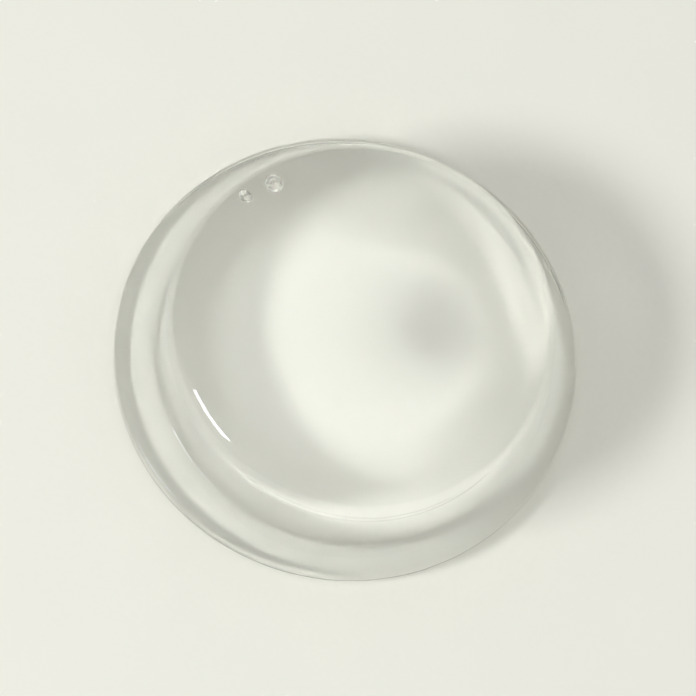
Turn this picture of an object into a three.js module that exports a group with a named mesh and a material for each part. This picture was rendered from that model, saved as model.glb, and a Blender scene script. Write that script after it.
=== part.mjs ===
// Clear self-adhesive bumper for a cabinet door: a round cast button on a thin foot, with a pad of
// pressure-sensitive adhesive under it. Millimetres, +Z up, origin at the centre of the sticking face.

import * as THREE from 'three';

// Driving sizes
const footDiameter = 12.7;
const overallHeight = 3.5;
const adhesiveThickness = 0.15;
const adhesiveInset = 0.05;
const footThickness = 0.45;
const footEdgeRadius = 0.1;
const buttonDiameter = 10.8;
const rootFillet = 0.12;
const shoulderRadius = 0.65;
const draftAngle = 2;
const crownRise = 0.08;
const landDiameter = 5.2;
const dishDiameter = 2.8;
const dishDepth = 0.12;

// Facets
const turns = 120;
const crownSteps = 4;
const shoulderSteps = 9;
const dishSteps = 3;
const smallSteps = 4;

const degree = Math.PI / 180;

/** Points on an arc about a centre, from one angle off the axis to another, both ends included. */
function arc(centreR, centreZ, radius, fromAngle, toAngle, steps) {
  const points = [];
  for (let i = 0; i <= steps; i += 1) {
    const angle = fromAngle + ((toAngle - fromAngle) * i) / steps;
    points.push(new THREE.Vector2(centreR + radius * Math.sin(angle), centreZ + radius * Math.cos(angle)));
  }
  return points;
}

/** A closed solid turned about Z from a profile that starts and ends on the axis, bottom first. */
function turned(profile) {
  const geometry = new THREE.LatheGeometry(profile, turns);
  geometry.rotateX(Math.PI / 2);
  return geometry;
}

/** The sink in the middle of the land: down from its rim by a rounded lip, then level at the axis. */
function dishProfile() {
  const rimRadius = dishDiameter / 2;
  const halfSweep = 2 * Math.atan(dishDepth / rimRadius);
  const bendRadius = rimRadius / (2 * Math.sin(halfSweep));
  const lip = arc(rimRadius, overallHeight - bendRadius, bendRadius, 0, -halfSweep, dishSteps);
  const bowl = arc(0, overallHeight - dishDepth + bendRadius, bendRadius, Math.PI - halfSweep, Math.PI, dishSteps);
  return [...lip, ...bowl.slice(1, -1), new THREE.Vector2(0, overallHeight - dishDepth)];
}

/** The cast body: flat underside, thin foot, drafted side, rounded shoulder, faint crown, land and dish. */
function bodyProfile() {
  const underside = adhesiveThickness;
  const footTop = underside + footThickness;
  const footRadius = footDiameter / 2;
  const rootRadius = buttonDiameter / 2;
  const landRadius = landDiameter / 2;
  const draft = draftAngle * degree;

  // The side leans inward by the draft angle from the root of the button.
  const outwardR = Math.cos(draft);
  const outwardZ = Math.sin(draft);

  // The crown is an arc that leaves the flat land level and meets the shoulder tangentially.
  const crownSpan = rootRadius - shoulderRadius - landRadius;
  const crownRadius = (crownSpan * crownSpan + crownRise * crownRise) / (2 * crownRise);
  const crownCentreZ = overallHeight - crownRadius;
  const shoulderReach = crownRadius - shoulderRadius;

  // The shoulder's centre lies one shoulder radius inside both the crown and the side.
  const sideOffset = rootRadius * outwardR + footTop * outwardZ - shoulderRadius;
  const fixedPart = landRadius * outwardR + crownCentreZ * outwardZ;
  const crownEnd = Math.asin((sideOffset - fixedPart) / shoulderReach) - draft;
  const shoulderR = landRadius + shoulderReach * Math.sin(crownEnd);
  const shoulderZ = crownCentreZ + shoulderReach * Math.cos(crownEnd);

  // A small fillet fills the corner between the side and the foot.
  const filletZ = footTop + rootFillet;
  const filletR = (rootRadius * outwardR + rootFillet - rootFillet * outwardZ) / outwardR;

  const footEdge = arc(footRadius - footEdgeRadius, footTop - footEdgeRadius, footEdgeRadius,
    Math.PI / 2, 0, smallSteps);
  const fillet = arc(filletR, filletZ, rootFillet, Math.PI, 1.5 * Math.PI - draft, smallSteps);
  const shoulder = arc(shoulderR, shoulderZ, shoulderRadius, Math.PI / 2 - draft, crownEnd, shoulderSteps);
  const crown = arc(landRadius, crownCentreZ, crownRadius, crownEnd, 0, crownSteps);

  return [
    new THREE.Vector2(0, underside),
    new THREE.Vector2(footRadius, underside),
    ...footEdge,
    ...fillet,
    ...shoulder,
    ...crown.slice(1),
    ...dishProfile(),
  ];
}

/** The adhesive pad: a flat disc held a little inside the foot's edge. */
function padProfile() {
  const padRadius = footDiameter / 2 - adhesiveInset;
  return [
    new THREE.Vector2(0, 0),
    new THREE.Vector2(padRadius, 0),
    new THREE.Vector2(padRadius, adhesiveThickness),
    new THREE.Vector2(0, adhesiveThickness),
  ];
}

const clearPolyurethane = new THREE.MeshStandardMaterial({
  color: 0xf2f2ea,
  roughness: 0.05,
  metalness: 0,
  transparent: true,
  opacity: 0.35,
});
const clearAdhesive = new THREE.MeshStandardMaterial({
  color: 0xf0efe2,
  roughness: 0.3,
  metalness: 0,
  transparent: true,
  opacity: 0.4,
});

const bumperBody = new THREE.Mesh(turned(bodyProfile()), clearPolyurethane);
bumperBody.name = 'bumper_body';

const adhesivePad = new THREE.Mesh(turned(padProfile()), clearAdhesive);
adhesivePad.name = 'adhesive_pad';

const doorBumper = new THREE.Group();
doorBumper.add(bumperBody, adhesivePad);

export default doorBumper;
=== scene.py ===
"""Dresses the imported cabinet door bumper: clear cast polyurethane on a clear adhesive pad."""
import math

import bpy
from mathutils import Matrix, Vector, noise


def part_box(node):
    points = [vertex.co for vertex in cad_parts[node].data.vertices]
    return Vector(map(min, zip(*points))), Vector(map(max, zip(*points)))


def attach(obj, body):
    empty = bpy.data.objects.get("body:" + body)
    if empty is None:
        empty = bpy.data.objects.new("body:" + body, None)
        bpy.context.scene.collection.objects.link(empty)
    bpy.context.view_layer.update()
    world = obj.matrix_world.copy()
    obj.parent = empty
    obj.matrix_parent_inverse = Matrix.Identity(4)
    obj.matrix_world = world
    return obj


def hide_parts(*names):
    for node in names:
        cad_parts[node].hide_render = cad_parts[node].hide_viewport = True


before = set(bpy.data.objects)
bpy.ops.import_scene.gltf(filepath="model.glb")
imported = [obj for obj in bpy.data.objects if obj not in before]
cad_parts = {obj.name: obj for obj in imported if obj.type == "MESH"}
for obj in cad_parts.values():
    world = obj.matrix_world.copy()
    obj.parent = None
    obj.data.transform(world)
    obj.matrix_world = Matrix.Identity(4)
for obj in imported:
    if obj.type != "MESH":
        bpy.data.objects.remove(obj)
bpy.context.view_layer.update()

MM = 0.001
FULL_TURN = 2 * math.pi
QUARTER_TURN = math.pi / 2

# The part's own sizes, in metres. The foot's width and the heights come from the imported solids.
body_low, body_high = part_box("bumper_body")
pad_low, pad_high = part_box("adhesive_pad")
FOOT_RADIUS = body_high.x
PAD_RADIUS = pad_high.x
PAD_TOP = pad_high.z
BODY_TOP = body_high.z
FOOT_THICKNESS = 0.45 * MM
FOOT_TOP = PAD_TOP + FOOT_THICKNESS
FOOT_EDGE_RADIUS = 0.1 * MM
BUTTON_RADIUS = 5.4 * MM
ROOT_FILLET = 0.12 * MM
SHOULDER_RADIUS = 0.65 * MM
DRAFT = math.radians(2)
CROWN_RISE = 0.08 * MM
LAND_RADIUS = 2.6 * MM
DISH_RADIUS = 1.4 * MM
# Shallower than the solid's, so that the grey spot it makes is nearly as faint as the photograph's.
DISH_DEPTH = 0.07 * MM

# The foot was cut this far off the middle of its button, towards the left of the picture.
CUT_OFFSET = 0.22 * MM
# The cutter left this much waviness on the foot's edge, inward from the true circle.
CUT_WAVINESS = 0.02 * MM
# The edge is led round the noise at this reach, which sets how many waves it has.
WAVE_REACH = 9
# Past this share of the pad's radius lie the foot's rounded edge and the underside's outer rings.
EDGE_SHARE = 0.98

# The pad reaches this far into the body, and the paper this far into the pad, so that no film of air
# is left between them. The two faces where the pad and the body overlap get an index of their own.
BOND = 0.004 * MM

# Steps round the axis and along each arc of the half section.
TURNS = 288
DISH_STEPS = 10
EDGE_STEPS = 8
SHOULDER_STEPS = 24
CROWN_STEPS = 12
# Rings of corners on the body's underside, as shares of the foot's radius.
UNDERSIDE_RINGS = (0.5, 0.9, 0.99, 1.0)
# A corner nearer to the axis than this is on it.
ON_AXIS = 1e-9
# Room left where corners are told apart by their place.
MARGIN = 0.01 * MM

# The picture's own directions over the floor: the part leans back from the camera by the tilt, and
# its axis points to the lean in the picture.
CAMERA_TILT = math.radians(20)
PICTURE_LEAN = math.radians(75)
back = Vector((0, -math.sin(CAMERA_TILT), math.cos(CAMERA_TILT)))
up = Vector((0, math.cos(CAMERA_TILT), math.sin(CAMERA_TILT)))
right = Vector((1, 0, 0))
roll = PICTURE_LEAN - QUARTER_TURN
picture_x = right * math.cos(roll) - up * math.sin(roll)
picture_y = right * math.sin(roll) + up * math.cos(roll)

# The camera keeps the photograph's distance and tilt, with a longer lens for the one bumper. It aims
# at this share of the bumper's height. Its sensor is in millimetres.
CAMERA_DISTANCE = 60.5 * FOOT_RADIUS
FRAME_WIDTH = 19.0 * MM
SENSOR = 36
AIM_HEIGHT = 0.35
CLIP_START = 0.01

camera_data = bpy.data.cameras.new("camera")
camera_data.sensor_width = SENSOR
camera_data.lens = SENSOR * CAMERA_DISTANCE / FRAME_WIDTH
camera_data.clip_start = CLIP_START
camera = bpy.data.objects.new("camera", camera_data)
bpy.context.scene.collection.objects.link(camera)
bpy.context.scene.camera = camera
pose = Matrix((picture_x, picture_y, back)).transposed().to_4x4()
pose.translation = Vector((0, 0, BODY_TOP * AIM_HEIGHT)) + back * CAMERA_DISTANCE
camera.matrix_world = pose


def arc(centre_r, centre_z, radius, start, end, steps):
    """Points of a profile on an arc, by the angle off the axis."""
    points = []
    for i in range(steps + 1):
        angle = start + (end - start) * i / steps
        points.append((centre_r + radius * math.sin(angle), centre_z + radius * math.cos(angle)))
    return points


def dish_profile():
    """The sink in the middle of the land, from its rim to the axis."""
    sweep = 2 * math.atan(DISH_DEPTH / DISH_RADIUS)
    bend = DISH_RADIUS / (2 * math.sin(sweep))
    lip = arc(DISH_RADIUS, BODY_TOP - bend, bend, 0, -sweep, DISH_STEPS)
    bowl = arc(0, BODY_TOP - DISH_DEPTH + bend, bend, math.pi - sweep, math.pi, DISH_STEPS)
    return lip + bowl[1:-1] + [(0, BODY_TOP - DISH_DEPTH)]


def body_profile():
    """The cast body's half section, from the middle of the underside to the middle of the dish."""
    out_r = math.cos(DRAFT)
    out_z = math.sin(DRAFT)
    span = BUTTON_RADIUS - SHOULDER_RADIUS - LAND_RADIUS
    crown_radius = (span * span + CROWN_RISE * CROWN_RISE) / (2 * CROWN_RISE)
    crown_z = BODY_TOP - crown_radius
    reach = crown_radius - SHOULDER_RADIUS
    side = BUTTON_RADIUS * out_r + FOOT_TOP * out_z - SHOULDER_RADIUS
    fixed = LAND_RADIUS * out_r + crown_z * out_z
    crown_end = math.asin((side - fixed) / reach) - DRAFT
    shoulder_r = LAND_RADIUS + reach * math.sin(crown_end)
    shoulder_z = crown_z + reach * math.cos(crown_end)
    fillet_r = BUTTON_RADIUS + (ROOT_FILLET - ROOT_FILLET * out_z) / out_r
    fillet_z = FOOT_TOP + ROOT_FILLET
    edge_r = FOOT_RADIUS - FOOT_EDGE_RADIUS
    edge_z = FOOT_TOP - FOOT_EDGE_RADIUS
    points = [(0, PAD_TOP)]
    points += [(FOOT_RADIUS * share, PAD_TOP) for share in UNDERSIDE_RINGS]
    points += arc(edge_r, edge_z, FOOT_EDGE_RADIUS, QUARTER_TURN, 0, EDGE_STEPS)
    points += arc(fillet_r, fillet_z, ROOT_FILLET, math.pi, 3 * QUARTER_TURN - DRAFT, EDGE_STEPS)
    points += arc(shoulder_r, shoulder_z, SHOULDER_RADIUS, QUARTER_TURN - DRAFT, crown_end, SHOULDER_STEPS)
    points += arc(LAND_RADIUS, crown_z, crown_radius, crown_end, 0, CROWN_STEPS)[1:]
    points += [((LAND_RADIUS + DISH_RADIUS) / 2, BODY_TOP)]
    points += dish_profile()
    return points


def pad_profile():
    """The adhesive pad's half section."""
    top = PAD_TOP + BOND
    middle = PAD_RADIUS / 2
    return [(0, 0), (middle, 0), (PAD_RADIUS, 0), (PAD_RADIUS, top), (middle, top), (0, top)]


def turned_shell(profile):
    """Corners and faces of a closed shell, turned about Z from a profile with both ends on the axis."""
    verts, faces, rings = [], [], []
    for r, z in profile:
        count = 1 if r < ON_AXIS else TURNS
        rings.append(range(len(verts), len(verts) + count))
        for k in range(count):
            angle = FULL_TURN * k / TURNS
            verts.append(Vector((r * math.cos(angle), r * math.sin(angle), z)))
    for low, high in zip(rings, rings[1:]):
        for k in range(TURNS):
            k2 = (k + 1) % TURNS
            if len(low) == 1:
                faces.append((low[0], high[k2], high[k]))
            elif len(high) == 1:
                faces.append((low[k], low[k2], high[0]))
            else:
                faces.append((low[k], low[k2], high[k2], high[k]))
    return verts, faces


def piece(name, verts, faces, sharp_angle):
    """An object of the scene from its corners and faces, smooth but for edges past the sharp angle."""
    mesh = bpy.data.meshes.new(name)
    mesh.from_pydata(verts, [], faces)
    mesh.update()
    mesh.shade_smooth()
    mesh.set_sharp_from_angle(angle=sharp_angle)
    thing = bpy.data.objects.new(name, mesh)
    bpy.context.scene.collection.objects.link(thing)
    return thing


def cut_edge(verts):
    """Gives the foot its cut: the button stands a little off its middle and the edge wavers slightly."""
    shift = Vector((picture_x.x, picture_x.y, 0)).normalized() * CUT_OFFSET
    button_reach = BUTTON_RADIUS + ROOT_FILLET + MARGIN
    for corner in verts:
        reach = math.hypot(corner.x, corner.y)
        if reach < button_reach and corner.z > FOOT_TOP - MARGIN:
            corner += shift
        elif reach > EDGE_SHARE * PAD_RADIUS:
            around = corner.normalized() * WAVE_REACH
            dent = (noise.noise(Vector((around.x, around.y, 0))) + 1) / 2
            inward = CUT_WAVINESS * dent / reach
            corner.x -= corner.x * inward
            corner.y -= corner.y * inward


# Small bubbles of air caught under the button's shoulder at casting: place to the right and up in
# the picture in foot radii, height in foot radii, and radius.
BUBBLES = [
    (-0.30, 0.76, 0.48, 0.24 * MM),
    (-0.42, 0.70, 0.45, 0.16 * MM),
]
BUBBLE_SEGMENTS = 24


def floor_place(across, rise, height):
    """The point at a height that shows across and up in the picture from the foot's middle, in foot radii."""
    x = across * math.cos(roll) + rise * math.sin(roll)
    leant = rise * math.cos(roll) - across * math.sin(roll)
    y = (leant - height * math.sin(CAMERA_TILT)) / math.cos(CAMERA_TILT)
    return Vector((x, y, height)) * FOOT_RADIUS


def add_bubble(verts, faces, centre, radius):
    """Adds a round hollow to a solid, with its faces turned towards the air inside it."""
    half = BUBBLE_SEGMENTS // 2
    first = len(verts)
    for i in range(half + 1):
        tilt = math.pi * i / half
        for k in range(BUBBLE_SEGMENTS):
            turn = FULL_TURN * k / BUBBLE_SEGMENTS
            ray = Vector((math.sin(tilt) * math.cos(turn), math.sin(tilt) * math.sin(turn), math.cos(tilt)))
            verts.append(centre + ray * radius)
    for i in range(half):
        low = first + i * BUBBLE_SEGMENTS
        high = low + BUBBLE_SEGMENTS
        for k in range(BUBBLE_SEGMENTS):
            k2 = (k + 1) % BUBBLE_SEGMENTS
            faces.append((low + k, low + k2, high + k2, high + k))


# The two clear layers: their colours, and their refraction indices against air.
BODY_TINT = (0.99, 0.99, 0.975, 1)
BODY_IOR = 1.5
PAD_TINT = (0.983, 0.984, 0.953, 1)
PAD_IOR = 1.47

# The cast skin's waviness: the noise over metres, and the bump it makes.
SKIN_SCALE = 420
SKIN_DETAIL = 2
SKIN_STRENGTH = 0.12
SKIN_DEPTH = 0.03 * MM

# The paper within the pad's radius has a lighter white than the bare paper. This is painted light: it stands
# in for the light that the clear body gathers onto the paper under it, so that the paper under the bumper
# shows bright.
PAPER = (0.80, 0.80, 0.725, 1)
PAINTED_LIGHT_PAPER = (0.903, 0.902, 0.862, 1)
PAPER_ROUGHNESS = 0.6
PAPER_SPECULAR = 0.2

# The paper's clouds: the noise, and the shades that its middle range runs between.
CLOUD_SCALE = 260
CLOUD_DETAIL = 5
CLOUD_RANGE = (0.3, 0.7)
CLOUD_SHADES = (0.985, 1.0)

# The paper's fibres: the noise, and the bump it makes.
FIBRE_SCALE = 2600
FIBRE_DETAIL = 3
FIBRE_STRENGTH = 0.15
FIBRE_DEPTH = 0.02 * MM


def new_material(name):
    """A material by name, with its nodes, its shader and the output that gives the place on the piece."""
    material = bpy.data.materials.new(name)
    material.use_nodes = True
    tree = material.node_tree
    place = tree.nodes.new("ShaderNodeTexCoord").outputs["Object"]
    return material, tree, tree.nodes["Principled BSDF"], place


def within_pad(tree, place):
    """An output that is 1 within the pad's radius of the axis and 0 outside it."""
    flat = tree.nodes.new("ShaderNodeVectorMath")
    flat.operation = "MULTIPLY"
    flat.inputs[1].default_value = (1, 1, 0)
    reach = tree.nodes.new("ShaderNodeVectorMath")
    reach.operation = "LENGTH"
    inside = tree.nodes.new("ShaderNodeMath")
    inside.operation = "LESS_THAN"
    inside.inputs[1].default_value = PAD_RADIUS
    tree.links.new(place, flat.inputs[0])
    tree.links.new(flat.outputs["Vector"], reach.inputs[0])
    tree.links.new(reach.outputs["Value"], inside.inputs[0])
    return inside.outputs["Value"]


def noise_over(tree, place, scale, detail):
    """The output of a noise over the piece."""
    texture = tree.nodes.new("ShaderNodeTexNoise")
    texture.inputs["Scale"].default_value = scale
    texture.inputs["Detail"].default_value = detail
    tree.links.new(place, texture.inputs["Vector"])
    return texture.outputs["Fac"]


def add_bump(tree, shader, height, strength, depth):
    """Bumps a shader's surface by an output that gives the height."""
    bump = tree.nodes.new("ShaderNodeBump")
    bump.inputs["Strength"].default_value = strength
    bump.inputs["Distance"].default_value = depth
    tree.links.new(height, bump.inputs["Height"])
    tree.links.new(bump.outputs["Normal"], shader.inputs["Normal"])


def set_index(tree, shader, place, free_ior, bonded_ior, bonded_height):
    """Sets a clear layer's refraction index, with another on the level face where it is bonded.

    Light passes from the body into the pad through the pad's top, which bends nothing, and then
    through the body's underside, which bends it by the ratio of the two indices.
    """
    split = tree.nodes.new("ShaderNodeSeparateXYZ")
    level = tree.nodes.new("ShaderNodeMath")
    level.operation = "COMPARE"
    level.inputs[1].default_value = bonded_height
    level.inputs[2].default_value = BOND / 4
    bonded = tree.nodes.new("ShaderNodeMath")
    bonded.operation = "MULTIPLY"
    index = tree.nodes.new("ShaderNodeMath")
    index.operation = "MULTIPLY_ADD"
    index.inputs[1].default_value = bonded_ior - free_ior
    index.inputs[2].default_value = free_ior
    tree.links.new(place, split.inputs["Vector"])
    tree.links.new(split.outputs["Z"], level.inputs[0])
    tree.links.new(level.outputs["Value"], bonded.inputs[0])
    tree.links.new(within_pad(tree, place), bonded.inputs[1])
    tree.links.new(bonded.outputs["Value"], index.inputs[0])
    tree.links.new(index.outputs["Value"], shader.inputs["IOR"])


def clear_polyurethane():
    """Water-clear cast polyurethane with the faint waviness of a cast skin."""
    material, tree, shader, place = new_material("clear_polyurethane")
    shader.inputs["Base Color"].default_value = BODY_TINT
    shader.inputs["IOR"].default_value = BODY_IOR
    shader.inputs["Transmission Weight"].default_value = 1
    shader.inputs["Roughness"].default_value = 0
    set_index(tree, shader, place, BODY_IOR, BODY_IOR / PAD_IOR, PAD_TOP)
    add_bump(tree, shader, noise_over(tree, place, SKIN_SCALE, SKIN_DETAIL), SKIN_STRENGTH, SKIN_DEPTH)
    return material


def clear_adhesive():
    """Clear acrylic adhesive, a touch warmer than the body."""
    material, tree, shader, place = new_material("clear_adhesive")
    shader.inputs["Base Color"].default_value = PAD_TINT
    shader.inputs["IOR"].default_value = PAD_IOR
    shader.inputs["Transmission Weight"].default_value = 1
    shader.inputs["Roughness"].default_value = 0
    set_index(tree, shader, place, PAD_IOR, 1.0, PAD_TOP + BOND)
    return material


def pale_paper():
    """The pale floor, faintly clouded as coated paper is, and lighter within the pad's radius: painted light
    for the light the clear body gathers there.
    """
    material, tree, shader, place = new_material("pale_paper")
    shader.inputs["Roughness"].default_value = PAPER_ROUGHNESS
    shader.inputs["Specular IOR Level"].default_value = PAPER_SPECULAR
    white = tree.nodes.new("ShaderNodeMix")
    white.data_type = "RGBA"
    white.inputs["A"].default_value = PAPER
    white.inputs["B"].default_value = PAINTED_LIGHT_PAPER
    shade = tree.nodes.new("ShaderNodeMapRange")
    shade.inputs["From Min"].default_value = CLOUD_RANGE[0]
    shade.inputs["From Max"].default_value = CLOUD_RANGE[1]
    shade.inputs["To Min"].default_value = CLOUD_SHADES[0]
    shade.inputs["To Max"].default_value = CLOUD_SHADES[1]
    clouded = tree.nodes.new("ShaderNodeVectorMath")
    clouded.operation = "SCALE"
    # Within the pad's radius the paper takes the lighter white, which is painted light under the bumper.
    tree.links.new(within_pad(tree, place), white.inputs["Factor"])
    tree.links.new(noise_over(tree, place, CLOUD_SCALE, CLOUD_DETAIL), shade.inputs["Value"])
    tree.links.new(white.outputs["Result"], clouded.inputs["Vector"])
    tree.links.new(shade.outputs["Result"], clouded.inputs["Scale"])
    tree.links.new(clouded.outputs["Vector"], shader.inputs["Base Color"])
    add_bump(tree, shader, noise_over(tree, place, FIBRE_SCALE, FIBRE_DETAIL), FIBRE_STRENGTH, FIBRE_DEPTH)
    return material


# The pieces.
SHARP = math.radians(40)

body_verts, body_faces = turned_shell(body_profile())
cut_edge(body_verts)
for across, rise, height, radius in BUBBLES:
    add_bubble(body_verts, body_faces, floor_place(across, rise, height), radius)
body = piece("clear_body", body_verts, body_faces, SHARP)
body.data.materials.append(clear_polyurethane())
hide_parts("bumper_body")
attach(body, "root")

pad = piece("clear_pad", *turned_shell(pad_profile()), SHARP)
pad.data.materials.append(clear_adhesive())
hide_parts("adhesive_pad")
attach(pad, "root")

# The pale floor.
FLOOR_SIDE = 0.6
half = FLOOR_SIDE / 2
floor_corners = [(-half, -half, BOND), (half, -half, BOND), (half, half, BOND), (-half, half, BOND)]
floor_mesh = bpy.data.meshes.new("floor")
floor_mesh.from_pydata(floor_corners, [], [(0, 1, 2, 3)])
floor = bpy.data.objects.new("floor", floor_mesh)
bpy.context.scene.collection.objects.link(floor)
floor_mesh.materials.append(pale_paper())

# The light: a small soft lamp from the left of the picture, and a sky that is brighter overhead than
# at the horizon. The total is the light on the level floor, and the lamp gives its share of it.
LIGHT_TOTAL = 3.25
LAMP_SHARE = 0.35
LAMP_AZIMUTH = math.radians(212)
LAMP_ELEVATION = math.radians(36)
LAMP_WIDE = math.radians(20)
LAMP_HIGH = math.radians(12)
LAMP_DISTANCE = 0.25
SKY_SLOPE = 0.9
# An even sky lights a level floor from this height over the horizon on average, out of 1 overhead.
SKY_MIDDLE = 2 / 3

towards = Vector((
    math.cos(LAMP_AZIMUTH) * math.cos(LAMP_ELEVATION),
    math.sin(LAMP_AZIMUTH) * math.cos(LAMP_ELEVATION),
    math.sin(LAMP_ELEVATION),
))
radiance = LAMP_SHARE * LIGHT_TOTAL / (LAMP_WIDE * LAMP_HIGH * math.sin(LAMP_ELEVATION))
lamp_data = bpy.data.lights.new("window", "AREA")
lamp_data.shape = "RECTANGLE"
lamp_data.size = 2 * LAMP_DISTANCE * math.tan(LAMP_WIDE / 2)
lamp_data.size_y = 2 * LAMP_DISTANCE * math.tan(LAMP_HIGH / 2)
lamp_data.energy = radiance * math.pi * lamp_data.size * lamp_data.size_y
lamp = bpy.data.objects.new("window", lamp_data)
bpy.context.scene.collection.objects.link(lamp)
lamp.location = towards * LAMP_DISTANCE
lamp.rotation_mode = "QUATERNION"
lamp.rotation_quaternion = towards.to_track_quat("Z", "Y")


def sky():
    """A white sky whose strength grows with height over the horizon."""
    world = bpy.data.worlds.new("sky")
    world.use_nodes = True
    tree = world.node_tree
    even = (1 - LAMP_SHARE) * LIGHT_TOTAL / math.pi
    place = tree.nodes.new("ShaderNodeTexCoord")
    split = tree.nodes.new("ShaderNodeSeparateXYZ")
    strength = tree.nodes.new("ShaderNodeMath")
    strength.operation = "MULTIPLY_ADD"
    strength.inputs[1].default_value = even * SKY_SLOPE
    strength.inputs[2].default_value = even * (1 - SKY_SLOPE * SKY_MIDDLE)
    background = tree.nodes["Background"]
    background.inputs["Color"].default_value = (1, 1, 1, 1)
    tree.links.new(place.outputs["Generated"], split.inputs["Vector"])
    tree.links.new(split.outputs["Z"], strength.inputs[0])
    tree.links.new(strength.outputs["Value"], background.inputs["Strength"])
    return world


# Light passes through the clear layers many times, and none of it is clamped, because the light that
# the clear body gathers is part of its look.
CLEAR_BOUNCES = 16
PAPER_BOUNCES = 8

scene = bpy.context.scene
scene.world = sky()
scene.view_settings.view_transform = "Standard"
scene.cycles.max_bounces = CLEAR_BOUNCES
scene.cycles.transmission_bounces = CLEAR_BOUNCES
scene.cycles.diffuse_bounces = PAPER_BOUNCES
scene.cycles.blur_glossy = 0
scene.cycles.sample_clamp_indirect = 0
